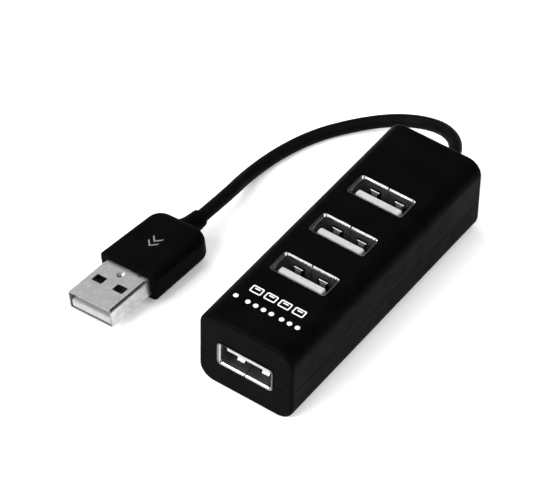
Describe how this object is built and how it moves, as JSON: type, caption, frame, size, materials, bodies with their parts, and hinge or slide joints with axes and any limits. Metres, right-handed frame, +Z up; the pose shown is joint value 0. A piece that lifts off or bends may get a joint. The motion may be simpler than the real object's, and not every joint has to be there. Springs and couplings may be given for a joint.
{
  "type": "usb hub",
  "caption": "Black bar-shaped hub with type A sockets along its top and in its front end, and a short captive lead that ends in a type A plug.",
  "frame": {"origin": "middle of the flat underside of the housing", "axes": "+Y along the bar, towards the end that the lead leaves; +Z up, out of the three top sockets; +X to the right seen from the front end"},
  "size_m": [0.0569, 0.0903, 0.0196],
  "materials": {
    "housing_plastic": "semi-gloss black",
    "socket_steel": "bright nickel plate",
    "white_insulator": "satin white",
    "contact_gold": "gold flash",
    "spring_steel": "bright",
    "board_green": "solder mask",
    "solder": "bright",
    "chip_epoxy": "matte moulding compound",
    "tinned_lead": "tinned",
    "crystal_steel": "satin can",
    "capacitor_sleeve": "shrink sleeve",
    "capacitor_aluminium": "satin",
    "ceramic_body": "sintered",
    "resistor_body": "glazed",
    "nylon": "natural",
    "cord_jacket": "matte",
    "wire_red": "satin",
    "wire_white": "satin",
    "wire_green": "satin",
    "wire_black": "satin",
    "plug_plastic": "fine satin",
    "plug_steel": "bright nickel plate"
  },
  "bodies": {
    "hub": {"cable_gland": "cord_jacket", "cable_tie": "nylon", "capacitor_sleeves": "capacitor_sleeve", "capacitor_tops": "capacitor_aluminium", "chip_capacitors": "ceramic_body", "chip_leads": "tinned_lead", "chip_resistors": "resistor_body", "circuit_board": "board_green", "controller_chip": "chip_epoxy", "cord": "cord_jacket", "crystal_can": "crystal_steel", "inner_sheath": "cord_jacket", "lower_housing": "housing_plastic", "plug_boot": "plug_plastic", "plug_contacts": "contact_gold", "plug_grip": "plug_plastic", "plug_insulator": "white_insulator", "plug_shell": "plug_steel", "port_1_contacts": "contact_gold", "port_1_insulator": "white_insulator", "port_1_shell": "socket_steel", "port_2_contacts": "contact_gold", "port_2_insulator": "white_insulator", "port_2_shell": "socket_steel", "port_3_contacts": "contact_gold", "port_3_insulator": "white_insulator", "port_3_shell": "socket_steel", "port_4_contacts": "contact_gold", "port_4_insulator": "white_insulator", "port_4_shell": "socket_steel", "solder_joints": "solder", "upper_housing": "housing_plastic", "wire_black": "wire_black", "wire_green": "wire_green", "wire_red": "wire_red", "wire_white": "wire_white"},
    "spring_clip_1": {"port_1_spring": "spring_steel"},
    "spring_clip_2": {"port_2_spring": "spring_steel"},
    "spring_clip_3": {"port_3_spring": "spring_steel"},
    "spring_clip_4": {"port_4_spring": "spring_steel"}
  },
  "joints": [
    {"name": "port_1_spring_flex", "type": "hinge", "parent": "hub", "child": "spring_clip_1", "pos_m": [0, 0.01677, 0.01025], "axis": [-1, 0, 0], "range_deg": [0, 3], "stiffness_Nm_per_rad": 0.02},
    {"name": "port_2_spring_flex", "type": "hinge", "parent": "hub", "child": "spring_clip_2", "pos_m": [0, 0.00277, 0.01025], "axis": [-1, 0, 0], "range_deg": [0, 3], "stiffness_Nm_per_rad": 0.02},
    {"name": "port_3_spring_flex", "type": "hinge", "parent": "hub", "child": "spring_clip_3", "pos_m": [0, -0.01123, 0.01025], "axis": [-1, 0, 0], "range_deg": [0, 3], "stiffness_Nm_per_rad": 0.02},
    {"name": "port_4_spring_flex", "type": "hinge", "parent": "hub", "child": "spring_clip_4", "pos_m": [0, -0.02585, 0.00673], "axis": [1, 0, 0], "range_deg": [0, 3], "stiffness_Nm_per_rad": 0.02}
  ]
}
